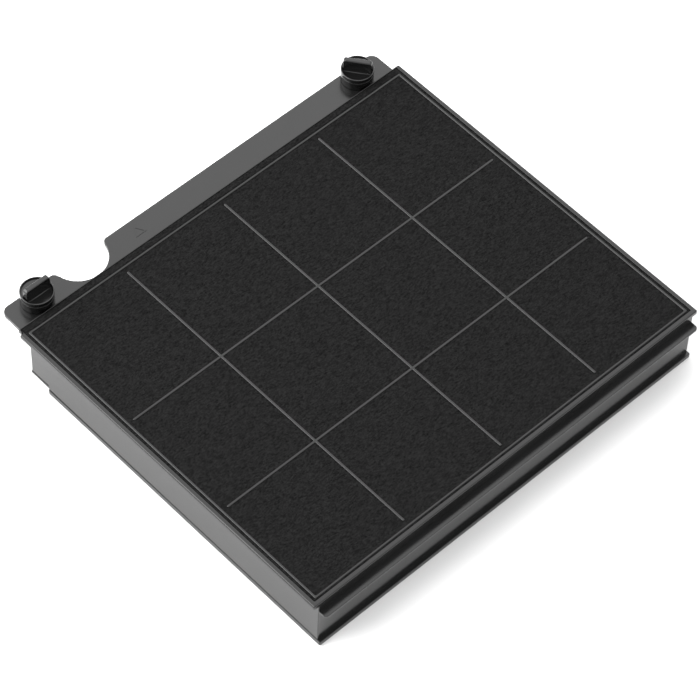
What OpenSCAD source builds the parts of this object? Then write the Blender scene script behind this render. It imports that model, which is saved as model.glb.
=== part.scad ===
// Flat activated-carbon fume filter cassette with two quarter-turn latches.
// Frame: +Z up, +Y towards the latch tab, origin on the bottom face
// under the middle of the divider grid. Millimetres.

/* [Cassette] */
// Width of the rim
lip_w = 224.8; // [220:0.1:240]
// Distance from the grid centre to the rim's front edge
lip_front = 89.5; // [89:0.5:100]
// Distance from the grid centre to the rim's latch-side edge
lip_back = 97.2; // [96:0.1:106]
// Height from the bottom face to the top of the rim
cassette_h = 30; // [26:0.5:40]
// Thickness of the moulded walls
wall_t = 1.8; // [1.4:0.1:2.4]
// Thickness of the rim
lip_t = 2; // [1.6:0.1:2.4]
// How far the rim stands out past the side walls
side_overhang = 2.7; // [2.6:0.1:3.4]
// Thickness of the foot flange
foot_t = 2.4; // [1.6:0.1:3]

/* [Heel step] */
// Length of the raised heel under the latch side
heel_l = 11.2; // [10:0.1:20]
// Height by which the heel is raised
heel_h = 3.5; // [2:0.5:5]

/* [Dividers] */
// Spacing of the long dividers
pitch_x = 56.1; // [50:0.1:58]
// Spacing of the short dividers
pitch_y = 58.8; // [50:0.1:60]
// Thickness of a divider
divider_t = 1.4; // [1:0.1:2.4]

/* [Face ribs] */
// Width of the long ribs on the fleece
long_rib_w = 1.2; // [0.8:0.1:2]
// Width of the short ribs on the fleece
short_rib_w = 1.2; // [0.6:0.1:2]
// Height of the ribs above the fleece
rib_rise = 0.3; // [0.2:0.1:0.6]
// Depth that the ribs press into the fleece
rib_sink = 0.5; // [0.3:0.1:0.8]

/* [Fleece and grille] */
// Thickness of each fleece sheet
fleece_t = 1.6; // [1:0.1:1.8]
// Thickness of the bottom grille
grille_t = 1.6; // [1.2:0.1:2]
// Width of a grille slot
slot_w = 4; // [3:0.5:5]
// Number of slots in each cell
slots_per_cell = 6; // [4:1:6]

/* [Tongue] */
// How far the tongue reaches past the front wall
tongue_reach = 4.2; // [3:0.1:8]
// Thickness of the tongue
tongue_t = 1.2; // [1:0.1:2]
// Depth of the tongue's top below the top of the rim
tongue_drop = 6; // [4:0.5:10]

/* [Latch tab] */
// How far the tab reaches past the rim
tab_reach = 14.3; // [14:0.1:20]
// Thickness of the tab
tab_t = 2; // [1.6:0.1:3]
// Radius of the round finger notch
notch_r = 13.3; // [10:0.1:14]
// Distance of the finger notch from the middle
notch_x = 65.6; // [62:0.1:66]

/* [Latches] */
// Distance of each latch from the middle
latch_x = 94; // [92:0.1:95]
// Distance of the latch axes past the rim's latch-side edge
latch_out = 7.9; // [7.6:0.1:9]
// Diameter of the knob at its foot
knob_d = 15.2; // [14:0.1:15.4]
// Height of the knob's skirt
skirt_h = 6.8; // [6:0.1:8]
// Length of the grip fin
fin_l = 13.2; // [10:0.1:13.4]
// Height of the grip fin above the skirt
fin_h = 5.2; // [3:0.1:8]
// Thickness of the grip fin
fin_t = 2.4; // [1.8:0.1:3.5]
// Diameter of the latch shaft
shaft_d = 6; // [5:0.1:6.5]
// Reach of the cam from its axis
cam_reach = 10.4; // [9:0.1:11]
// Turn of the left latch as drawn, from the +X axis
left_turn = 0; // [0:1:90]
// Turn of the right latch as drawn, from the +X axis
right_turn = 127; // [90:1:180]

/* [Hidden] */
ROWS = 3;
COLS = 4;
BEDS = [for (row = [1:ROWS], col = [1:COLS]) str("carbon_bed_", row, "_", col)];

$fn = 64;
eps = 0.01;

// How far solids run into each other, or cuts run past a face
overlap = 1;

// Outer faces of the walls, set in under the rim
front_overhang = 0.1;
back_overhang = 5.4;
wall_x = lip_w / 2 - side_overhang;
wall_front = -(lip_front - front_overhang);
wall_back = lip_back - back_overhang;
wall_top = cassette_h - lip_t;
wall_corner_r = 0.5;

// The heel is a little narrower than the body and stands higher
heel_y = wall_back - heel_l;
heel_inset = 0.2;
heel_floor = heel_h + wall_t;
heel_lap = 5;

// Inner faces of the walls
in_x = wall_x - wall_t;
in_front = wall_front + wall_t;
in_back = wall_back - wall_t;
in_heel = heel_y - wall_t;

// Foot flange past the walls
foot_side = 0.3;
foot_front = 1.7;
foot_r = 0.6;
heel_foot = 0.2;
heel_foot_t = 1;

// Fillet that carries the rim along each side wall
flare_r = 2.5;

// Rim from its outer edge inwards: band, margin of the fleece, bead, window
band_w = 2.1;
front_band_w = 2.1;
back_band_w = 0.5;
margin_w = 1.3;
front_margin_w = 0.8;
back_margin_w = 3.3;
bead_w = 1.1;
bead_r = 0.5;
bead_sink = 0.2;
ledge_t = 1;
margin_t = 0.5;
lip_r = 0.8;
notch_corner = 1.4;
notch_corner_l = 2.7;

// Window that the upper fleece fills
win_x = lip_w / 2 - band_w - margin_w - bead_w;
win_front = -(lip_front - front_band_w - front_margin_w - bead_w);
win_back = lip_back - back_band_w - back_margin_w - bead_w;
fit_gap = 0.1;

// Ribs on the fleece end short of the window's edges
rib_end_gap = 2.3;
fleece_top = wall_top + fleece_t;
ledge_top = wall_top + ledge_t;
margin_top = ledge_top + margin_t;

// Tab
tab_top = wall_top;
tab_inset = 2.9;
tab_x = lip_w / 2 - tab_inset;
tab_edge = lip_back + tab_reach;
tab_r = 4;
notch_lip_r = 2.5;
gusset_l = 9;
gusset_t = 1.6;
gusset_end = 5.6;
gusset_x = [-tab_x + gusset_end, -40, 0, 40, tab_x - gusset_end];
mark_side = 6;
mark_x = -37;
mark_line = 0.5;
mark_h = 0.15;

// Tongue
tongue_r = 1.9;
tongue_root = 4.8;
tongue_inset = 0.2;
tongue_x = wall_x - tongue_inset;
tongue_top = cassette_h - tongue_drop;

// Latches
latch_y = lip_back + latch_out;
shaft_gap = 0.05;
knob_draft = 0.3;
disc_h = 2;
neck_h = 0.5;
neck_d = knob_d - 1.2;
rim_t = 0.6;
recess_d = 1;
shell_t = 1.4;
knob_lift = 0.15;
boss_wall = 0.7;
fin_corner_r = 1.4;
fin_root_flare = 0.6;
stop_w = 2.4;
stop_h = 1.6;
stop_angle = -79;
cam_gap = 2.2;
cam_t = 3;
cam_hub_r = 5;
cam_nose_w = 5.4;
shaft_square = 4.2;
snap_h = 1.2;
snap_grip = 0.6;
snap_slit = 1;

// Carbon beds stand on the lower fleece and reach the upper fleece
bed_bottom = grille_t + fleece_t;
bed_gap = 0.1;
mid_y = [-1, 1] * pitch_y / 2;
mid_x = [-1, 0, 1] * pitch_x;
cell_x = concat([-in_x], mid_x, [in_x]);
cell_y = concat([in_front], mid_y, [in_back]);

// Grille
grille_gap = 0.2;
slot_margin = 4;

// Block between two corners
module block(low, high) {
    translate(low) cube(high - low);
}

// Flat outline with four rounded corners
module round_outline(low, high, r) {
    translate([low.x + r, low.y]) square([high.x - low.x - 2 * r, high.y - low.y]);
    translate([low.x, low.y + r]) square([high.x - low.x, high.y - low.y - 2 * r]);
    for (x = [low.x + r, high.x - r], y = [low.y + r, high.y - r]) {
        translate([x, y]) circle(r);
    }
}

// Bar along X with round ends, centred
module bar_outline(length, width) {
    square([length - width, width], center = true);
    for (side = [-1, 1]) {
        translate([side * (length - width) / 2, 0]) circle(d = width, $fn = 32);
    }
}

module round_plate(low, high, r) {
    translate([0, 0, low.z])
        linear_extrude(high.z - low.z)
            round_outline([low.x, low.y], [high.x, high.y], r);
}

// Housing -------------------------------------------------------------

module body_shell() {
    round_plate([-wall_x, wall_front, 0], [wall_x, heel_y, wall_top], wall_corner_r);
    block([-wall_x, heel_y - heel_lap, heel_h], [wall_x, heel_y, wall_top]);
    block(
        [-wall_x + heel_inset, heel_y - overlap, heel_h],
        [wall_x - heel_inset, wall_back, wall_top]
    );
}

module foot_flange() {
    round_plate(
        [-wall_x - foot_side, wall_front - foot_front, 0],
        [wall_x + foot_side, heel_y, foot_t],
        foot_r
    );
    block(
        [-wall_x + heel_inset - heel_foot, heel_y - overlap, heel_h],
        [wall_x - heel_inset + heel_foot, wall_back + heel_foot, heel_h + heel_foot_t]
    );
}

// Concave fillet under the rim, along one side wall
module side_flare(side) {
    mirror([side < 0 ? 1 : 0, 0, 0])
        difference() {
            block(
                [wall_x - heel_inset - eps, wall_front + wall_corner_r, wall_top - flare_r],
                [wall_x + flare_r, wall_back, wall_top]
            );
            translate([wall_x + flare_r, wall_front, wall_top - flare_r])
                rotate([-90, 0, 0])
                    cylinder(r = flare_r, h = wall_back - wall_front + overlap);
        }
}

module tongue() {
    round_plate(
        [-tongue_x, wall_front - tongue_reach, tongue_top - tongue_t],
        [tongue_x, wall_front + tongue_root, tongue_top],
        tongue_r
    );
}

// Material left beside the finger notch, rounded at the tab's edge
module notch_outline() {
    mouth = notch_r + notch_lip_r;
    translate([-notch_x, tab_edge]) {
        circle(notch_r, $fn = 96);
        difference() {
            translate([-mouth, -notch_lip_r])
                square([2 * mouth, notch_lip_r + overlap]);
            for (side = [-1, 1]) {
                translate([side * mouth, -notch_lip_r]) circle(notch_lip_r);
            }
        }
    }
}

module tab_outline() {
    difference() {
        round_outline([-tab_x, in_back - 2 * tab_r], [tab_x, tab_edge], tab_r);
        notch_outline();
        for (side = [-1, 1]) {
            translate([side * latch_x, latch_y]) circle(d = shaft_d + 2 * shaft_gap);
        }
    }
}

module tab_gusset() {
    rotate([90, 0, 90])
        linear_extrude(gusset_t, center = true)
            polygon([[0, 0], [gusset_l, 0], [0, -gusset_l]]);
}

// Plain raised triangle, with no lettering
module tab_mark() {
    half = mark_side / 2;
    rise = mark_side * sin(60);
    inner = 1 - 2 * sqrt(3) * mark_line / mark_side;
    centre = rise / 3;
    outline = [[-half, -centre], [half, -centre], [0, rise - centre]];
    linear_extrude(mark_h)
        difference() {
            polygon(outline);
            polygon(outline * inner);
        }
}

module inner_space() {
    block([-in_x, in_front, -overlap], [in_x, in_heel, cassette_h]);
    block(
        [-in_x + heel_inset, in_heel - overlap, heel_floor],
        [in_x - heel_inset, in_back, cassette_h]
    );
}

module housing() {
    color([0.10, 0.10, 0.11]) {
        difference() {
            union() {
                body_shell();
                foot_flange();
                for (side = [-1, 1]) {
                    side_flare(side);
                }
                tongue();
                translate([0, 0, tab_top - tab_t]) linear_extrude(tab_t) tab_outline();
                for (x = gusset_x) {
                    translate([x, wall_back - eps, tab_top - tab_t]) tab_gusset();
                }
            }
            inner_space();
        }
        translate([mark_x, (lip_back + tab_edge) / 2, tab_top]) tab_mark();
    }
}

// Cover frame ---------------------------------------------------------

// Outline of the rim drawn in from its edges
module rim_outline(inset, front_inset, back_inset, r) {
    x = lip_w / 2 - inset;
    round_outline([-x, -lip_front + front_inset], [x, lip_back - back_inset], r);
}

// Area inside the rim's band, which the fleece fills
module recess_outline(gap) {
    rim_outline(band_w + gap, front_band_w + gap, back_band_w + gap, bead_r);
}

module cover_frame() {
    color([0.16, 0.16, 0.17])
        difference() {
            translate([0, 0, wall_top]) linear_extrude(lip_t) rim_outline(0, 0, 0, lip_r);
            translate([0, 0, ledge_top]) linear_extrude(lip_t) recess_outline(0);
            block([-win_x, win_front, 0], [win_x, win_back, cassette_h]);
            block(
                [-lip_w, lip_back - notch_corner_l, 0],
                [-lip_w / 2 + notch_corner, lip_back + overlap, cassette_h + overlap]
            );
        }
}

// Filter stack --------------------------------------------------------

// Bead that clamps the fleece down on the ledge
module bead_frame() {
    color([0.16, 0.16, 0.17])
        translate([0, 0, margin_top - bead_sink])
            linear_extrude(cassette_h - margin_top + bead_sink)
                difference() {
                    round_outline(
                        [-win_x - bead_w, win_front - bead_w],
                        [win_x + bead_w, win_back + bead_w],
                        bead_r
                    );
                    round_outline([-win_x, win_front], [win_x, win_back], bead_r);
                }
}

// Ribs moulded onto the fleece over the dividers
module face_ribs() {
    color([0.16, 0.16, 0.17])
        translate([0, 0, fleece_top - rib_sink]) linear_extrude(rib_sink + rib_rise) {
            for (x = mid_x) {
                translate([x, (win_front + win_back) / 2])
                    rotate(90)
                        bar_outline(win_back - win_front - 2 * rib_end_gap, long_rib_w);
            }
            for (y = mid_y) {
                translate([0, y]) bar_outline(2 * (win_x - rib_end_gap), short_rib_w);
            }
        }
}

// Space between the heel floor and the bottom of the stack
module heel_block() {
    block([-lip_w, in_heel - bed_gap, -overlap], [lip_w, lip_back, heel_floor]);
}

module divider_grid() {
    color([0.13, 0.13, 0.14])
        difference() {
            union() {
                for (x = mid_x) {
                    block(
                        [x - divider_t / 2, in_front + bed_gap, bed_bottom],
                        [x + divider_t / 2, in_back - bed_gap, wall_top]
                    );
                }
                for (y = mid_y) {
                    block(
                        [-in_x + heel_inset + bed_gap, y - divider_t / 2, bed_bottom],
                        [in_x - heel_inset - bed_gap, y + divider_t / 2, wall_top]
                    );
                }
            }
            heel_block();
        }
}

// One bed of granules fills one cell
module carbon_bed(row, col) {
    low_x = cell_x[col - 1] + (col == 1 ? heel_inset : divider_t / 2) + bed_gap;
    high_x = cell_x[col] - (col == COLS ? heel_inset : divider_t / 2) - bed_gap;
    low_y = cell_y[row - 1] + (row == 1 ? 0 : divider_t / 2) + bed_gap;
    high_y = cell_y[row] - (row == ROWS ? 0 : divider_t / 2) - bed_gap;
    color([0.04, 0.04, 0.045])
        difference() {
            block([low_x, low_y, bed_bottom], [high_x, high_y, wall_top]);
            if (row == ROWS) {
                heel_block();
            }
        }
}

module upper_fleece() {
    color([0.07, 0.07, 0.075])
        difference() {
            union() {
                block(
                    [-win_x + fit_gap, win_front + fit_gap, wall_top],
                    [win_x - fit_gap, win_back - fit_gap, fleece_top]
                );
                translate([0, 0, ledge_top]) linear_extrude(margin_t) recess_outline(fit_gap);
            }
            bead_frame();
            face_ribs();
        }
}

module lower_fleece() {
    color([0.07, 0.07, 0.075])
        block(
            [-in_x + grille_gap, in_front + grille_gap, grille_t],
            [in_x - grille_gap, in_heel - grille_gap, bed_bottom]
        );
}

// Rows of slots in one cell, between the lines of the dividers
module cell_slots(row, col) {
    low_y = cell_y[row - 1];
    high_y = min(cell_y[row], in_heel);
    length = cell_x[col] - cell_x[col - 1] - 2 * slot_margin;
    step = (high_y - low_y - slot_margin) / slots_per_cell;
    for (i = [0:slots_per_cell - 1]) {
        translate([
            (cell_x[col - 1] + cell_x[col]) / 2,
            low_y + slot_margin / 2 + step * (i + 0.5)
        ])
            bar_outline(length, slot_w);
    }
}

module bottom_grille() {
    low = [-in_x + grille_gap, in_front + grille_gap];
    high = [in_x - grille_gap, in_heel - grille_gap];
    color([0.12, 0.12, 0.13])
        linear_extrude(grille_t)
            difference() {
                translate(low) square(high - low);
                for (row = [1:ROWS], col = [1:COLS]) {
                    cell_slots(row, col);
                }
            }
}

// Latches -------------------------------------------------------------

module at_latch(side, turn) {
    translate([side * latch_x, latch_y, tab_top]) rotate([0, 0, turn]) children();
}

// Upright fin with rounded upper corners, thicker at its root
module fin() {
    top = skirt_h + fin_h;
    root = skirt_h - recess_d - eps;
    half = fin_l / 2;
    root_half = fin_t / 2 + fin_root_flare;
    intersection() {
        rotate([90, 0, 0])
            linear_extrude(2 * root_half, center = true) {
                translate([-half, root]) square([fin_l, top - root - fin_corner_r]);
                translate([-half + fin_corner_r, root])
                    square([fin_l - 2 * fin_corner_r, top - root]);
                for (side = [-1, 1]) {
                    translate([side * (half - fin_corner_r), top - fin_corner_r])
                        circle(fin_corner_r);
                }
            }
        rotate([90, 0, 90])
            linear_extrude(fin_l, center = true)
                polygon([
                    [-root_half, root],
                    [root_half, root],
                    [fin_t / 2, top],
                    [-fin_t / 2, top]
                ]);
    }
}

// Skirt, narrow neck and dished disc, hollow from below
module knob_shell() {
    disc_z = skirt_h - disc_h;
    neck_z = disc_z - neck_h;
    difference() {
        union() {
            translate([0, 0, knob_lift])
                cylinder(d1 = knob_d, d2 = knob_d - knob_draft, h = neck_z - knob_lift);
            translate([0, 0, neck_z - eps]) cylinder(d = neck_d, h = neck_h + 2 * eps);
            translate([0, 0, disc_z]) cylinder(d = knob_d, h = disc_h);
        }
        translate([0, 0, skirt_h - recess_d])
            cylinder(d = knob_d - 2 * rim_t, h = recess_d + overlap);
        translate([0, 0, -overlap])
            cylinder(d = neck_d - 2 * shell_t, h = disc_z + overlap - eps);
        rotate([0, 0, stop_angle])
            translate([neck_d / 2 - shell_t / 2, -stop_w / 2, neck_z - stop_h])
                cube([knob_d, stop_w, stop_h + eps]);
    }
}

module knob_shaft() {
    cam_top = -tab_t - cam_gap;
    cam_bottom = cam_top - cam_t;
    translate([0, 0, knob_lift])
        cylinder(d = shaft_d + 2 * boss_wall, h = skirt_h - recess_d - knob_lift - eps);
    translate([0, 0, cam_top]) cylinder(d = shaft_d, h = overlap - cam_top);
    translate([-shaft_square / 2, -shaft_square / 2, cam_bottom])
        cube([shaft_square, shaft_square, cam_t + overlap]);
    difference() {
        translate([0, 0, cam_bottom - snap_h])
            cylinder(d1 = shaft_square, d2 = shaft_d + snap_grip, h = snap_h);
        translate([-shaft_square, -snap_slit / 2, cam_bottom - snap_h - overlap])
            cube([2 * shaft_square, snap_slit, snap_h + overlap]);
    }
}

module latch_knob(side, turn) {
    color([0.05, 0.05, 0.055])
        at_latch(side, turn) {
            knob_shell();
            fin();
            knob_shaft();
        }
}

module latch_cam(side, turn) {
    nose_r = cam_nose_w / 2;
    color([0.14, 0.14, 0.15])
        at_latch(side, turn)
            translate([0, 0, -tab_t - cam_gap - cam_t])
                linear_extrude(cam_t)
                    difference() {
                        union() {
                            circle(cam_hub_r);
                            translate([0, -nose_r]) square([cam_reach - nose_r, cam_nose_w]);
                            translate([cam_reach - nose_r, 0]) circle(nose_r);
                        }
                        square(shaft_square, center = true);
                    }
}

module left_knob() { latch_knob(-1, left_turn); }
module left_cam() { latch_cam(-1, left_turn); }
module right_knob() { latch_knob(1, right_turn); }
module right_cam() { latch_cam(1, right_turn); }

housing();
cover_frame();
bead_frame();
face_ribs();
upper_fleece();
divider_grid();
lower_fleece();
bottom_grille();
for (row = [1:ROWS], col = [1:COLS]) {
    carbon_bed(row, col);
}
left_knob();
left_cam();
right_knob();
right_cam();
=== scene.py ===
"""Looks of the carbon fume filter cassette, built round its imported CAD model. Metres, +Z up."""

import math

import bpy
import numpy as np
from mathutils import Matrix, Vector


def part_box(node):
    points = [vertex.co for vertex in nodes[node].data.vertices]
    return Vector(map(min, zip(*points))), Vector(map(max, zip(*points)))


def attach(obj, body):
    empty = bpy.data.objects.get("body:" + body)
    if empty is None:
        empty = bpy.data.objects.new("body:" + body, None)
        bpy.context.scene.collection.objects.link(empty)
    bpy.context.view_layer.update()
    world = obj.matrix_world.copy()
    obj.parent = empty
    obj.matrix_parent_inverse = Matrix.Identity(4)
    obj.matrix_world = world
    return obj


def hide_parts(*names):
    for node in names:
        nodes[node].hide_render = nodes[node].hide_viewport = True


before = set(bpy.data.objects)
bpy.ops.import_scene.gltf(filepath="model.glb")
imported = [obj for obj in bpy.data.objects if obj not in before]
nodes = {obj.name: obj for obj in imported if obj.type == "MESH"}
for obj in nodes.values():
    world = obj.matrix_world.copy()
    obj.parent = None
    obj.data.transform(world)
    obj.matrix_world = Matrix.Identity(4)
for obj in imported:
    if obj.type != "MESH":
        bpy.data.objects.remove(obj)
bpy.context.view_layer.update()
scene = bpy.context.scene
MM = 0.001


# Node helpers ---------------------------------------------------------------

class Graph:
    """Short calls for building one material's nodes."""

    def __init__(self, name):
        self.material = bpy.data.materials.new(name)
        self.material.use_nodes = True
        self.tree = self.material.node_tree
        self.tree.nodes.clear()
        self.out = self.add("ShaderNodeOutputMaterial")
        self.shader = self.add("ShaderNodeBsdfPrincipled")
        self.link(self.shader.outputs["BSDF"], self.out.inputs["Surface"])
        coordinates = self.add("ShaderNodeTexCoord")
        self.mm = self.mapping(coordinates.outputs["Object"], (1 / MM,) * 3)

    def add(self, kind, **settings):
        made = self.tree.nodes.new(kind)
        for key, value in settings.items():
            setattr(made, key, value)
        return made

    def link(self, output, target):
        self.tree.links.new(output, target)

    def put(self, node, socket, value):
        """Sets a socket to a constant or links it to another socket."""
        if isinstance(value, bpy.types.NodeSocket):
            self.link(value, node.inputs[socket])
        else:
            node.inputs[socket].default_value = value

    def mapping(self, vector, scale, turn=(0, 0, 0)):
        made = self.add("ShaderNodeMapping")
        self.link(vector, made.inputs["Vector"])
        made.inputs["Scale"].default_value = scale
        made.inputs["Rotation"].default_value = turn
        return made.outputs["Vector"]

    def noise(self, scale, detail=3.0, rough=0.55, distort=0.0, vector=None):
        """Noise whose features are about 1 / scale mm across."""
        made = self.add("ShaderNodeTexNoise")
        self.link(vector or self.mm, made.inputs["Vector"])
        made.inputs["Scale"].default_value = scale
        made.inputs["Detail"].default_value = detail
        made.inputs["Roughness"].default_value = rough
        made.inputs["Distortion"].default_value = distort
        return made.outputs["Fac"]

    def remap(self, value, low, high, to_low, to_high):
        """A linear change of range that is clamped at both ends."""
        made = self.add("ShaderNodeMapRange")
        self.link(value, made.inputs["Value"])
        for socket, number in zip(
            ("From Min", "From Max", "To Min", "To Max"), (low, high, to_low, to_high)
        ):
            made.inputs[socket].default_value = number
        return made.outputs["Result"]

    def maths(self, operation, a, b=0.0):
        made = self.add("ShaderNodeMath", operation=operation)
        self.put(made, 0, a)
        self.put(made, 1, b)
        return made.outputs["Value"]

    def blend(self, a, share_a, b, share_b):
        """Sum of two values, each multiplied by its share."""
        return self.maths(
            "ADD", self.maths("MULTIPLY", a, share_a), self.maths("MULTIPLY", b, share_b)
        )

    def mix(self, factor, a, b):
        made = self.add("ShaderNodeMix", data_type="RGBA")
        self.put(made, "Factor", factor)
        self.put(made, 6, a)
        self.put(made, 7, b)
        return made.outputs[2]

    def bump(self, height, distance_mm, strength=1.0, normal=None):
        """A relief of the given depth, laid over another normal if one is passed."""
        made = self.add("ShaderNodeBump")
        made.inputs["Distance"].default_value = distance_mm * MM
        made.inputs["Strength"].default_value = strength
        self.link(height, made.inputs["Height"])
        if normal:
            self.link(normal, made.inputs["Normal"])
        return made.outputs["Normal"]


def grey(value):
    """A neutral near-black."""
    return (value, value, value, 1.0)


# Materials ------------------------------------------------------------------

def moulded_plastic(name, dark, light, rough, grain_mm, grain_depth, ior=1.5):
    """Injection-moulded black plastic: spark-eroded grain, faint flow marks and handling marks."""
    g = Graph(name)
    flow = g.noise(0.035, 2.0, 0.5, 0.6)
    streaks = g.noise(
        0.9, 2.0, 0.6, 0.3, g.mapping(g.mm, (0.06, 0.9, 0.5), (0.0, 0.0, 0.5))
    )
    grain = g.noise(1 / grain_mm, 2.0, 0.5)
    pores = g.noise(0.45 / grain_mm, 3.0, 0.6)
    tone = g.blend(flow, 0.6, pores, 0.4)
    colour = g.mix(g.remap(tone, 0.35, 0.65, 0.0, 1.0), grey(dark), grey(light))
    g.link(colour, g.shader.inputs["Base Color"])
    spread = g.blend(flow, 0.7, streaks, 0.3)
    roughness = g.remap(spread, 0.3, 0.7, rough * 0.82, rough * 1.2)
    g.link(roughness, g.shader.inputs["Roughness"])
    g.shader.inputs["IOR"].default_value = ior
    fine = g.bump(grain, grain_depth, 0.6)
    g.link(g.bump(flow, 0.12, 0.35, fine), g.shader.inputs["Normal"])
    return g.material


def fibre_layer(g, turn, width, length, seed):
    """Thin crossing fibres that run one way, as ridges of a stretched noise."""
    turned = g.mapping(g.mm, (1 / width, 1 / length, 1.0), (0.0, 0.0, turn))
    moved = g.add("ShaderNodeVectorMath", operation="ADD")
    g.link(turned, moved.inputs[0])
    moved.inputs[1].default_value = (seed, seed * 1.7, seed * 0.3)
    field = g.noise(1.0, 2.0, 0.5, 0.9, moved.outputs["Vector"])
    ridge = g.maths("ABSOLUTE", g.maths("SUBTRACT", field, 0.5))
    return g.remap(ridge, 0.0, 0.09, 1.0, 0.0)


def felt(name, dark, light):
    """Black needled non-woven: matted fibres in several directions, thicker in patches."""
    g = Graph(name)
    layers = [
        fibre_layer(g, turn, 0.34, 3.4, seed)
        for turn, seed in ((0.2, 1.0), (1.25, 7.0), (2.3, 13.0), (2.9, 29.0))
    ]
    mat = layers[0]
    for layer in layers[1:]:
        mat = g.maths("MAXIMUM", mat, layer)
    patches = g.noise(0.30, 3.0, 0.62, 0.4)
    clumps = g.noise(1.0, 3.0, 0.6, 0.3, g.mapping(g.mm, (0.7, 1.7, 1.0), (0.0, 0.0, 0.7)))
    specks = g.noise(2.2, 2.0, 0.6)
    depth = g.blend(patches, 0.15, clumps, 0.85)
    tone = g.blend(depth, 0.62, specks, 0.38)
    tone = g.maths("ADD", tone, g.maths("MULTIPLY", mat, 0.05))
    colour = g.mix(g.remap(tone, 0.42, 0.64, 0.0, 1.0), grey(dark), grey(light))
    g.link(colour, g.shader.inputs["Base Color"])
    g.link(g.remap(mat, 0.0, 1.0, 0.95, 0.72), g.shader.inputs["Roughness"])
    g.shader.inputs["Specular IOR Level"].default_value = 0.06
    soft = g.bump(depth, 0.35, 0.7)
    g.link(g.bump(mat, 0.10, 0.8, soft), g.shader.inputs["Normal"])
    return g.material


def granules(name):
    """Granular activated carbon: packed angular grains with a dull glint, and painted shade in the
    gaps between them.
    """
    g = Graph(name)
    gaps = g.add("ShaderNodeTexVoronoi", feature="DISTANCE_TO_EDGE")
    g.link(g.mm, gaps.inputs["Vector"])
    gaps.inputs["Scale"].default_value = 0.45
    shade = g.remap(g.noise(0.8), 0.3, 0.7, 0.0, 1.0)
    colour = g.mix(shade, grey(0.006), grey(0.024))
    # Painted shade: the gaps between the grains are coloured near-black, standing in for the shade
    # there.
    dark = g.mix(g.remap(gaps.outputs["Distance"], 0.0, 0.12, 0.0, 1.0), grey(0.002), colour)
    g.link(dark, g.shader.inputs["Base Color"])
    g.link(g.remap(g.noise(2.0), 0.3, 0.7, 0.45, 0.85), g.shader.inputs["Roughness"])
    grain = g.bump(gaps.outputs["Distance"], 1.2, 0.9)
    g.link(g.bump(g.noise(3.0, 4.0, 0.65), 0.15, 0.6, grain), g.shader.inputs["Normal"])
    return g.material


def floor_paper(name):
    """Matt pale studio paper."""
    g = Graph(name)
    tone = g.remap(g.noise(0.01, 4.0), 0.3, 0.7, 0.0, 1.0)
    colour = g.mix(tone, (0.86, 0.86, 0.86, 1), (0.88, 0.88, 0.88, 1))
    g.link(colour, g.shader.inputs["Base Color"])
    g.shader.inputs["Roughness"].default_value = 0.9
    g.shader.inputs["Specular IOR Level"].default_value = 0.1
    g.link(g.bump(g.noise(1.5), 0.02, 0.3), g.shader.inputs["Normal"])
    return g.material


HOUSING = moulded_plastic("housing_satin_black", 0.003, 0.006, 0.20, 0.16, 0.005)
FRAME = moulded_plastic("frame_satin_black", 0.003, 0.006, 0.22, 0.16, 0.006, 1.44)
KNOB = moulded_plastic("knob_gloss_black", 0.002, 0.004, 0.12, 0.25, 0.002)
CAM = moulded_plastic("cam_matt_black", 0.020, 0.034, 0.42, 0.2, 0.012)
FLEECE = felt("black_fleece", 0.0005, 0.0128)
CARBON = granules("carbon_granules")


# CAD nodes: rounded edges and materials --------------------------------------

# Degrees at which two faces make a corner, fold back on themselves, or count as one flat face
CORNER_TURN = 30
FOLD_TURN = 140
FLAT_TURN = 0.4

# Distance within which points are the same
WELD_MM = 0.002


def edge_weights(mesh, radius, largest):
    """Marks each edge where two faces turn through a corner: bevelled, or left sharp."""
    count = len(mesh.vertices)
    co = np.empty(count * 3, np.float32)
    mesh.vertices.foreach_get("co", co)
    co = co.reshape(-1, 3)
    keys = {}
    at = [keys.setdefault(tuple(p), len(keys)) for p in np.round(co / (WELD_MM * MM)).astype(int)]
    sides = {}
    for face in mesh.polygons:
        ring = face.vertices
        for i in range(len(ring)):
            pair = frozenset((at[ring[i - 1]], at[ring[i]]))
            sides.setdefault(pair, []).append(face.normal.copy())
    weights = np.zeros(len(mesh.edges), np.float32)
    sharp = np.zeros(len(mesh.edges), bool)
    for edge in mesh.edges:
        a, b = edge.vertices
        around = sides.get(frozenset((at[a], at[b])), [])
        if len(around) < 2:
            continue
        turn = max(math.degrees(around[0].angle(n, 0)) for n in around[1:])
        if CORNER_TURN < turn < FOLD_TURN:
            weights[edge.index] = radius(co[a] / MM, co[b] / MM) / largest
            sharp[edge.index] = weights[edge.index] == 0
    stored = mesh.attributes.get("bevel_weight_edge") or mesh.attributes.new(
        "bevel_weight_edge", "FLOAT", "EDGE"
    )
    stored.data.foreach_set("value", weights)
    mesh.attributes.new("sharp_edge", "BOOLEAN", "EDGE").data.foreach_set("value", sharp)


def dress(name, material, largest, segments=3, radius=None):
    """Gives a CAD node its material and small moulded radii, in mm, on its edges."""
    node = nodes[name]
    mesh = node.data
    for i in range(len(mesh.materials)):
        mesh.materials[i] = material
    for attribute in ("custom_normal", "sharp_edge", "sharp_face"):
        if attribute in mesh.attributes:
            mesh.attributes.remove(mesh.attributes[attribute])
    edge_weights(mesh, radius or (lambda a, b: largest), largest)
    weld = node.modifiers.new("weld", "WELD")
    weld.merge_threshold = WELD_MM * MM
    flat = node.modifiers.new("flat", "DECIMATE")
    flat.decimate_type = "DISSOLVE"
    flat.angle_limit = math.radians(FLAT_TURN)
    bevel = node.modifiers.new("radii", "BEVEL")
    bevel.width = largest * MM
    bevel.segments = segments
    bevel.limit_method = "WEIGHT"
    bevel.use_clamp_overlap = False
    bevel.loop_slide = False
    shading = node.modifiers.new("shading", "WEIGHTED_NORMAL")
    shading.weight = 50
    shading.keep_sharp = True


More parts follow.
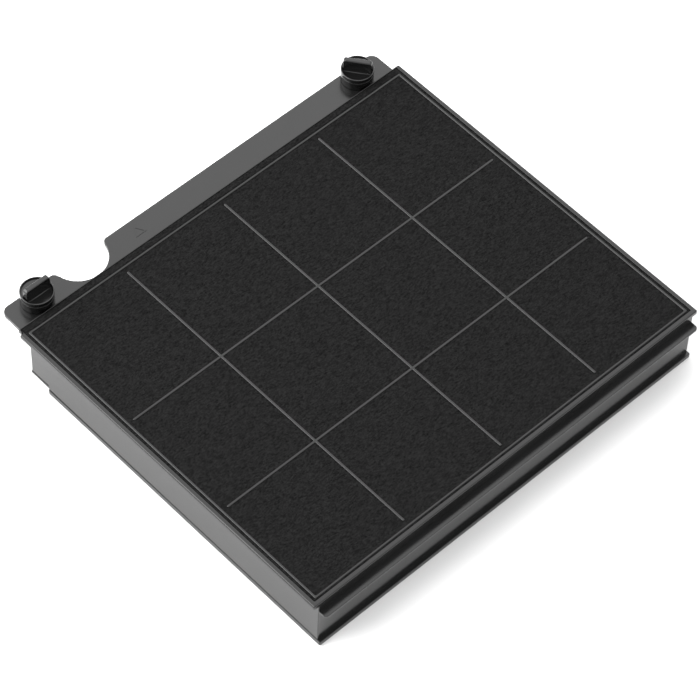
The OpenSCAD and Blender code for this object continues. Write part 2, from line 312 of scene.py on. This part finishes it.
def in_mm(node):
    """Lower and upper corner of a node's box, in millimetres."""
    low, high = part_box(node)
    return np.array(low) / MM, np.array(high) / MM


# Edge radii of the housing, a height just above the foot flange, the tab's upper face
# and where the raised heel starts
HOUSING_RADIUS = 0.3
FOOT_RADIUS = 0.25
FOOT_TOP = 2.5
TAB_TOP = 28.0
HEEL_STEP_Y = 80.6


def housing_radius(a, b):
    """Radius for an edge from a to b: none inside the box, on the mark or at narrow steps."""
    side, wide = sorted((abs(a[0]), abs(b[0])))
    near, far = min(a[1], b[1]), max(a[1], b[1])
    low, high = min(a[2], b[2]), max(a[2], b[2])
    inside = wide < 108.0 and near > -87.7 and far < 90.1
    mark = -41 < a[0] < -33 and near > 98 and far < 111 and low > 27.9
    fillet = side > 109.4 and low > 25.4 and far < 94
    step = near > HEEL_STEP_Y - 1.6 and far < HEEL_STEP_Y + 0.6 and side > 107
    heel_foot = near > HEEL_STEP_Y - 1.6 and high < 4.6 and far < 93
    root = 2.3 < low and high < FOOT_TOP and near > -89.5 and wide < 109.8
    tongue_root = 22.7 < low and high < 24.1 and near > -89.5 and far < 0
    raised = high > TAB_TOP + 0.01
    if any((raised, inside, mark, fillet, step, heel_foot, root, tongue_root)):
        return 0.0
    return FOOT_RADIUS if high < FOOT_TOP else HOUSING_RADIUS


dress("housing", HOUSING, HOUSING_RADIUS, radius=housing_radius)
dress("bead_frame", FRAME, 0.35)
dress("face_ribs", FRAME, 0.3)
dress("divider_grid", FRAME, 0.2, segments=1)
dress("bottom_grille", FRAME, 0.3, segments=2)
for side in ("left", "right"):
    dress(side + "_cam", CAM, 0.35)
for name in nodes:
    if name.startswith("carbon_bed"):
        dress(name, CARBON, 0.6, segments=2)


# Fleece sheets ----------------------------------------------------------------

def smooth(low, high, value):
    t = np.clip((value - low) / (high - low), 0.0, 1.0)
    return t * t * (3 - 2 * t)


def lattice_noise(x, y, size_mm, seed):
    """Smooth value noise in -1 to 1, the same on each run."""
    table = np.random.RandomState(seed).uniform(-1, 1, (256, 256))
    u, v = x / size_mm + 100.0, y / size_mm + 100.0
    i, j = np.floor(u).astype(int), np.floor(v).astype(int)
    s, t = smooth(0, 1, u - i), smooth(0, 1, v - j)
    a = table[i % 256, j % 256] * (1 - s) + table[(i + 1) % 256, j % 256] * s
    b = table[i % 256, (j + 1) % 256] * (1 - s) + table[(i + 1) % 256, (j + 1) % 256] * s
    return a * (1 - t) + b * t


def spaced_lines(low, high, step, extra):
    """Grid lines from low to high, with extra ones where the shape turns sharply."""
    even = np.linspace(low, high, int(round((high - low) / step)) + 1)
    extra = np.array([e for e in extra if low < e < high])
    clear = [e for e in even if not len(extra) or np.abs(extra - e).min() > 0.3 * step]
    return np.array(sorted(set(np.round(np.concatenate([clear, extra, [low, high]]), 5))))


def slab(name, xs, ys, top, bottom, corner=0.0):
    """A closed sheet with a shaped upper and lower face. Arguments in millimetres."""
    nx, ny = len(xs), len(ys)
    gx, gy = np.meshgrid(xs, ys)
    heights = top(gx, gy), bottom(gx, gy)
    if corner:
        mid_x, mid_y = (xs[0] + xs[-1]) / 2, (ys[0] + ys[-1]) / 2
        u = np.maximum(np.abs(gx - mid_x) - (xs[-1] - mid_x - corner), 0)
        v = np.maximum(np.abs(gy - mid_y) - (ys[-1] - mid_y - corner), 0)
        back = 1 - corner / np.maximum(np.hypot(u, v), corner)
        gx = gx - np.sign(gx - mid_x) * u * back
        gy = gy - np.sign(gy - mid_y) * v * back
    upper, lower = (np.stack([gx, gy, z], -1).reshape(-1, 3) for z in heights)
    points = np.concatenate([upper, lower]) * MM
    ids = np.arange(nx * ny).reshape(ny, nx)
    a, b, c, d = ids[:-1, :-1], ids[:-1, 1:], ids[1:, 1:], ids[1:, :-1]
    quads = np.stack([a, b, c, d], -1).reshape(-1, 4)
    under = quads[:, ::-1] + nx * ny
    ring = np.concatenate([ids[0, :-1], ids[:-1, -1], ids[-1, :0:-1], ids[:0:-1, 0]])
    after = np.roll(ring, -1)
    wall = np.stack([ring + nx * ny, after + nx * ny, after, ring], -1)
    faces = np.concatenate([quads, under, wall])
    mesh = bpy.data.meshes.new(name)
    mesh.from_pydata(points.tolist(), [], faces.tolist())
    mesh.validate()
    mesh.polygons.foreach_set("use_smooth", [True] * len(mesh.polygons))
    made = bpy.data.objects.new(name, mesh)
    scene.collection.objects.link(made)
    return made


rib_low, rib_high = in_mm("face_ribs")
sheet_low, sheet_high = in_mm("upper_fleece")
bead_low, bead_high = in_mm("bead_frame")

# Centres of the ribs and widths of the ribs and the bead
LONG_RIBS = (-56.1, 0.0, 56.1)
SHORT_RIBS = (-29.4, 29.4)
RIB_W = 1.2
BEAD_W = 1.1
BEAD_R = 0.5

# Heights of the fleece outside the bead and where ribs and bead press it down
HEM_TOP = 29.75
HEM_BOTTOM = 29.02
UNDER_RIB = 29.06
UNDER_BEAD = 29.26

# Half of the width over which the fleece steps up beside a rib or the bead
SNUG = 0.03


def rib_distance(x, y):
    """Distance from the nearest rib's edge, below zero under it."""
    best = np.full(x.shape, 99.0)
    for rx in LONG_RIBS:
        end = np.clip(y, rib_low[1] + RIB_W / 2, rib_high[1] - RIB_W / 2)
        best = np.minimum(best, np.hypot(x - rx, y - end) - RIB_W / 2)
    for ry in SHORT_RIBS:
        end = np.clip(x, rib_low[0] + RIB_W / 2, rib_high[0] - RIB_W / 2)
        best = np.minimum(best, np.hypot(x - end, y - ry) - RIB_W / 2)
    return best


def outside(x, y, inset):
    """Distance past the bead's outline drawn in by inset, below zero within it."""
    middle = (bead_low + bead_high) / 2
    half = (bead_high - bead_low) / 2 - inset - BEAD_R
    u, v = np.abs(x - middle[0]) - half[0], np.abs(y - middle[1]) - half[1]
    return np.hypot(np.maximum(u, 0), np.maximum(v, 0)) + np.minimum(np.maximum(u, v), 0) - BEAD_R


def matting(x, y, seed):
    """Uneven loft of the needled fibres."""
    return (
        0.05 * lattice_noise(x, y, 2.6, seed)
        + 0.035 * lattice_noise(x + 0.5 * y, y - 0.4 * x, 1.3, seed + 1)
        + 0.04 * lattice_noise(x, y, 21.0, seed + 2)
    )


def fleece_top(x, y):
    """Lofty in the cells, pressed down under ribs and bead, and flat in the margin."""
    window = outside(x, y, BEAD_W)
    d = np.minimum(rib_distance(x, y), -window)
    free = smooth(0.0, 0.9, d)
    loft = sheet_high[2] + free * matting(x, y, 5)
    pressed = np.where(window > 0, UNDER_BEAD, np.where(d > 0, loft, UNDER_RIB))
    return np.where(outside(x, y, 0.0) > 0, HEM_TOP, pressed)


def fleece_bottom(x, y):
    """Raised where the rim's ledge holds the margin up."""
    return np.where(outside(x, y, BEAD_W) > -0.1, HEM_BOTTOM, sheet_low[2] + 0.02)


def rib_lines(centres):
    """Extra grid lines where the fleece steps beside each rib."""
    offsets = (0, RIB_W / 2 - SNUG, RIB_W / 2 + SNUG, RIB_W / 2 + 0.35)
    return [c + s * o for c in centres for o in offsets for s in (-1, 1)]


def bead_lines(low, high):
    """Extra grid lines where the fleece steps beside the bead."""
    insets = (-SNUG, SNUG, 0.5, BEAD_W - SNUG, BEAD_W + SNUG, BEAD_W + 0.13, BEAD_W + 0.5)
    return [low + i for i in insets] + [high - i for i in insets]


GRID_STEP = 0.75
xs = spaced_lines(
    sheet_low[0], sheet_high[0], GRID_STEP,
    rib_lines(LONG_RIBS) + bead_lines(bead_low[0], bead_high[0]),
)
ys = spaced_lines(
    sheet_low[1], sheet_high[1], GRID_STEP,
    rib_lines(SHORT_RIBS) + bead_lines(bead_low[1], bead_high[1]),
)
face_fleece = slab("face_fleece", xs, ys, fleece_top, fleece_bottom, BEAD_R)
face_fleece.data.materials.append(FLEECE)
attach(face_fleece, "cassette")
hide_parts("upper_fleece")

back_low, back_high = in_mm("lower_fleece")


def lower_bottom(x, y):
    """Uneven underside that stays just clear of the grille."""
    edge = np.minimum.reduce([x - back_low[0], back_high[0] - x, y - back_low[1], back_high[1] - y])
    return back_low[2] + 0.03 + 0.05 * smooth(0, 2, edge) * (1 + lattice_noise(x, y, 2.6, 31))


def lower_top(x, y):
    return np.full(x.shape, back_high[2] - 0.02)


back_fleece = slab(
    "back_fleece",
    spaced_lines(back_low[0], back_high[0], 2 * GRID_STEP, []),
    spaced_lines(back_low[1], back_high[1], 2 * GRID_STEP, []),
    lower_top, lower_bottom,
)
back_fleece.data.materials.append(FLEECE)
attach(back_fleece, "cassette")
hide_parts("lower_fleece")


# Latch knobs --------------------------------------------------------------------

# Heights from the tab's upper face, radii and half widths of a latch knob
AROUND = 144
SKIRT_R, SKIRT_TOP = 7.6, 4.3
BORE_R = 5.6
NECK_R = 7.0
DISC_Z, DISC_TOP = 4.8, 6.8
DISH_R, DISH_Z = 7.0, 5.8

# Fin: half length, half thickness at the top, and the radii of its edges
FIN_HALF, FIN_T, FIN_TOP = 6.6, 1.2, 12.0
FIN_DRAFT = 0.6
FIN_END_R, FIN_SIDE_R, FIN_TOP_R = 1.4, 0.45, 0.5
FIN_ROOT_R, FIN_ROOT_H = 0.4, 0.5

# Stop window in the skirt: lower edge, depth, place and half width in degrees
STOP_LOW, STOP_R, STOP_TURN, STOP_HALF = 2.7, 6.3, -79.0, 9.2

# Shaft, square for the cam and the split snap end below it
SHAFT_R, SQUARE = 3.0, 2.1
CAM_TOP, CAM_LOW = -4.2, -7.2
SNAP_LOW, SNAP_R, SLIT = -8.4, 3.3, 0.5
LATCH_X, LATCH_Y = 94.0, 105.1


class Mould:
    """Collects the surfaces of one moulding, in millimetres."""

    def __init__(self):
        self.points, self.faces = [], []

    def loft(self, loops, caps=(True, True), ring=False):
        """Closed loops of equal length joined in order, each end closed if asked."""
        start, count = len(self.points), len(loops[0])
        for loop in loops:
            self.points += [tuple(point) for point in loop]
        for k in range(len(loops) - 1 + ring):
            a, b = start + k * count, start + (k + 1) % len(loops) * count
            for i in range(count):
                j = (i + 1) % count
                self.faces.append((a + i, a + j, b + j, b + i))
        last = start + (len(loops) - 1) * count
        if caps[0]:
            self.faces.append(tuple(start + i for i in reversed(range(count))))
        if caps[1]:
            self.faces.append(tuple(last + i for i in range(count)))

    def build(self, name, turn, origin, angle):
        """The object, turned about +Z and moved to origin, sharp where faces turn past angle."""
        mesh = bpy.data.meshes.new(name)
        cos, sin = math.cos(math.radians(turn)), math.sin(math.radians(turn))
        placed = [
            ((x * cos - y * sin + origin[0]) * MM, (x * sin + y * cos + origin[1]) * MM,
             (z + origin[2]) * MM)
            for x, y, z in self.points
        ]
        mesh.from_pydata(placed, [], self.faces)
        mesh.validate()
        mesh.polygons.foreach_set("use_smooth", [True] * len(mesh.polygons))
        mesh.set_sharp_from_angle(angle=math.radians(angle))
        made = bpy.data.objects.new(name, mesh)
        scene.collection.objects.link(made)
        return made


def round_corner(centre_r, centre_z, radius, start, end, steps=5):
    """Points (r, z) on an arc, angles in degrees."""
    turns = [math.radians(t) for t in np.linspace(start, end, steps + 1)]
    return [(centre_r + radius * math.cos(t), centre_z + radius * math.sin(t)) for t in turns]


def turned(r, z):
    """One loop of the turned body, set in where the stop window is."""
    loop = []
    for t in np.linspace(0, 360, AROUND, endpoint=False):
        away = abs((t - STOP_TURN + 180) % 360 - 180)
        inner = min(r, STOP_R) if away < STOP_HALF and STOP_LOW < z < SKIRT_TOP - 0.3 else r
        loop.append((inner * math.cos(math.radians(t)), inner * math.sin(math.radians(t)), z))
    return loop


def rounded_box(half_x, half_y, z, radius, steps=4):
    """One rectangular loop round the axis with rounded corners."""
    loop = []
    for k, (sx, sy) in enumerate(((1, 1), (-1, 1), (-1, -1), (1, -1))):
        for t in np.linspace(90 * k, 90 * k + 90, steps + 1):
            loop.append((
                sx * (half_x - radius) + radius * math.cos(math.radians(t)),
                sy * (half_y - radius) + radius * math.sin(math.radians(t)), z,
            ))
    return loop


def fin_half(z):
    """Half of the fin's thickness at a height, wider towards the dish."""
    return FIN_T + FIN_DRAFT * (FIN_TOP - z) / (FIN_TOP - DISH_Z)


def fin_loops():
    """Fin with rounded upper corners and a small fillet at its root."""
    loops = []
    low = DISH_Z - 0.1
    for z in (low, low + 0.08, low + 0.18, low + 0.32, low + 0.5, 7.0, 8.5, 9.7, 10.2):
        up = max(0.0, 1 - (z - low) / FIN_ROOT_H)
        sweep = FIN_ROOT_R * (1 - math.sqrt(1 - up**2))
        loops.append(rounded_box(FIN_HALF, fin_half(z) + sweep, z, FIN_SIDE_R, 12))
    for t in np.linspace(0, 90, 9):
        z = FIN_TOP - FIN_END_R * (1 - math.sin(math.radians(t)))
        length = FIN_HALF - FIN_END_R * (1 - math.cos(math.radians(t)))
        slim = max(0.0, (z - FIN_TOP + FIN_TOP_R) / FIN_TOP_R)
        thick = fin_half(z) - FIN_TOP_R * (1 - math.sqrt(max(0.0, 1 - slim**2)))
        loops.append(rounded_box(length, thick, z, min(FIN_SIDE_R, thick * 0.9), 12))
    return loops


def knob(side, latch_x, turn):
    """Grip, shaft, square and snap end in one moulding, drawn at a turn in degrees."""
    mould = Mould()
    profile = [(BORE_R, 0.15)]
    profile += round_corner(SKIRT_R - 0.2, 0.35, 0.2, -90, 0)
    profile += [(7.52, STOP_LOW - 0.02), (7.52, STOP_LOW + 0.02), (7.46, SKIRT_TOP - 0.22)]
    profile += round_corner(SKIRT_R - 0.33, SKIRT_TOP - 0.18, 0.18, 0, 90)
    profile += [(NECK_R, SKIRT_TOP), (NECK_R, DISC_Z)]
    profile += round_corner(SKIRT_R - 0.18, DISC_Z + 0.18, 0.18, -90, 0)
    profile += round_corner(SKIRT_R - 0.22, DISC_TOP - 0.22, 0.22, 0, 90)
    profile += round_corner(DISH_R + 0.15, DISC_TOP - 0.15, 0.15, 90, 180)
    profile += round_corner(DISH_R - 0.6, DISH_Z + 0.6, 0.6, 0, -90)
    profile += [(4.0, DISH_Z - 0.05), (1.5, DISH_Z - 0.1)]
    mould.loft([turned(r, z) for r, z in profile], (False, True))
    mould.loft([turned(BORE_R, z) for z in (4.4, 0.15)], (True, False))
    mould.loft(fin_loops())
    shaft = round_corner(0, 0, SHAFT_R, 0, 360, 48)[:-1]
    mould.loft([[(x, y, z) for x, y in shaft] for z in (CAM_TOP, 4.5)])
    mould.loft([rounded_box(SQUARE, SQUARE, z, 0.2) for z in (CAM_LOW, CAM_TOP + 0.5)])
    for half in (1, -1):
        prong = []
        for r, z in ((SQUARE, SNAP_LOW), (SNAP_R, CAM_LOW)):
            reach = math.degrees(math.asin(SLIT / r))
            arc = round_corner(0, 0, r, reach, 180 - reach, 24)
            prong.append([(half * x, half * y, z) for x, y in arc])
        mould.loft(prong)
    made = mould.build(side + "_grip", turn, (latch_x, LATCH_Y, TAB_TOP), 38)
    made.data.materials.append(KNOB)
    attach(made, side + "_latch")
    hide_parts(side + "_knob")


knob("left", -LATCH_X, 0)
knob("right", LATCH_X, 127)


# Rim ------------------------------------------------------------------------------

rim_low, rim_high = in_mm("cover_frame")
CORNER_STEPS = 8

# Radii of the left, front, right and rear upper edges, and of every upright corner
EDGE_RADII = (0.8, 0.5, 0.9, 0.2)
CORNER_R = 0.8

# Inner corner of the notch, height of the ledge, and left, front, right and rear of the openings
NOTCH_X, NOTCH_Y = -111.0, 94.5
LEDGE_Z = 29.0
WINDOW = (-107.9, -85.5, 107.9, 92.3)
RECESS = (-110.3, -87.4, 110.3, 96.7)


def rim_loop(left, front, right, rear, z, radius, notch=None):
    """Rounded rectangle, with the small square notch in its left rear corner if given."""
    loop = []
    corners = (
        (right, rear, 1, 1), (left, rear, -1, 1), (left, front, -1, -1), (right, front, 1, -1),
    )
    for k, (cx, cy, sx, sy) in enumerate(corners):
        if notch is not None and k == 1:
            nx, ny = NOTCH_X + notch, NOTCH_Y - notch
            path = [(nx, rear + (ny - rear) * i / 4) for i in range(5)]
            path += [(nx + (left - nx) * i / 4, ny) for i in range(1, 5)]
            loop += [(x, y, z) for x, y in path]
            continue
        for t in np.linspace(90 * k, 90 * k + 90, CORNER_STEPS + 1):
            loop.append((
                cx - sx * radius + radius * math.cos(math.radians(t)),
                cy - sy * radius + radius * math.sin(math.radians(t)), z,
            ))
    return loop


def drawn_in(height, radius):
    """How far an edge of this radius has come in at a height below the rim's top."""
    up = max(0.0, radius - height)
    return radius - math.sqrt(max(0.0, radius**2 - up**2))


rim = Mould()
loops = []
for below in (2.0, 1.75, 1.5, 1.25, 1.0, 0.8, 0.6, 0.45, 0.3, 0.2, 0.12, 0.05, 0.015, 0.0):
    left, front, right, rear = (drawn_in(below, r) for r in EDGE_RADII)
    loops.append(rim_loop(
        rim_low[0] + left, rim_low[1] + front, rim_high[0] - right, rim_high[1] - rear,
        rim_high[2] - below, max(0.1, CORNER_R - min(left, right)), drawn_in(below, 0.15),
    ))
ledge_depth = rim_high[2] - LEDGE_Z
for below, out in ((0.0, 0.15), (0.04, 0.04), (0.15, 0.0), (ledge_depth, 0.0)):
    loops.append(rim_loop(
        RECESS[0] - out, RECESS[1] - out, RECESS[2] + out, RECESS[3] + out,
        rim_high[2] - below, 0.5,
    ))
loops += [rim_loop(*WINDOW, z, 0.05) for z in (LEDGE_Z, rim_low[2])]
rim.loft(loops, (False, False), ring=True)
rim_frame = rim.build("rim_frame", 0, (0, 0, 0), 50)
rim_frame.data.materials.append(FRAME)
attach(rim_frame, "cassette")
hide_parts("cover_frame")


# Floor, light and camera -------------------------------------------------------

def plane(name, half, z):
    mesh = bpy.data.meshes.new(name)
    mesh.from_pydata(
        [(-half, -half, z), (half, -half, z), (half, half, z), (-half, half, z)],
        [], [(0, 1, 2, 3)],
    )
    made = bpy.data.objects.new(name, mesh)
    scene.collection.objects.link(made)
    return made


floor = plane("floor", 4.0, -0.0003)
floor.data.materials.append(floor_paper("floor_paper"))

world = bpy.data.worlds.new("studio")
world.use_nodes = True
background = world.node_tree.nodes["Background"]
background.inputs["Color"].default_value = (1.0, 1.0, 1.0, 1.0)
background.inputs["Strength"].default_value = 1.4
scene.world = world


def softbox(name, position, target, width, power):
    data = bpy.data.lights.new(name, "AREA")
    data.shape = "SQUARE"
    data.size = width
    data.energy = power
    made = bpy.data.objects.new(name, data)
    scene.collection.objects.link(made)
    made.location = position
    made.rotation_mode = "QUATERNION"
    aim = Vector(target) - Vector(position)
    made.rotation_quaternion = aim.to_track_quat("-Z", "Y")
    return made


softbox("key", (-1.2, 1.2, 1.25), (0, 0, 0), 2.2, 90)
softbox("sheen_panel", (0.9, 0.9, 1.75), (0, 0, 0), 1.8, 11)

camera_data = bpy.data.cameras.new("camera")
camera_data.sensor_width = 36.0
camera_data.lens = 183.64
camera_data.clip_start = 0.05
camera_data.clip_end = 50.0
camera = bpy.data.objects.new("camera", camera_data)
scene.collection.objects.link(camera)
azimuth, elevation, roll = (math.radians(v) for v in (-45.253, 53.675, 2.661))
back = Vector((
    math.sin(azimuth) * math.cos(elevation),
    -math.cos(azimuth) * math.cos(elevation),
    math.sin(elevation),
))
level = Vector((math.cos(azimuth), math.sin(azimuth), 0.0))
upward = back.cross(level)
right = math.cos(roll) * level + math.sin(roll) * upward
top = -math.sin(roll) * level + math.cos(roll) * upward
place = Matrix.Translation((-0.65178, -0.63764, 1.25246))
camera.matrix_world = place @ Matrix((
    (right.x, top.x, back.x, 0),
    (right.y, top.y, back.y, 0),
    (right.z, top.z, back.z, 0),
    (0, 0, 0, 1),
))
scene.camera = camera
scene.view_settings.view_transform = "Standard"
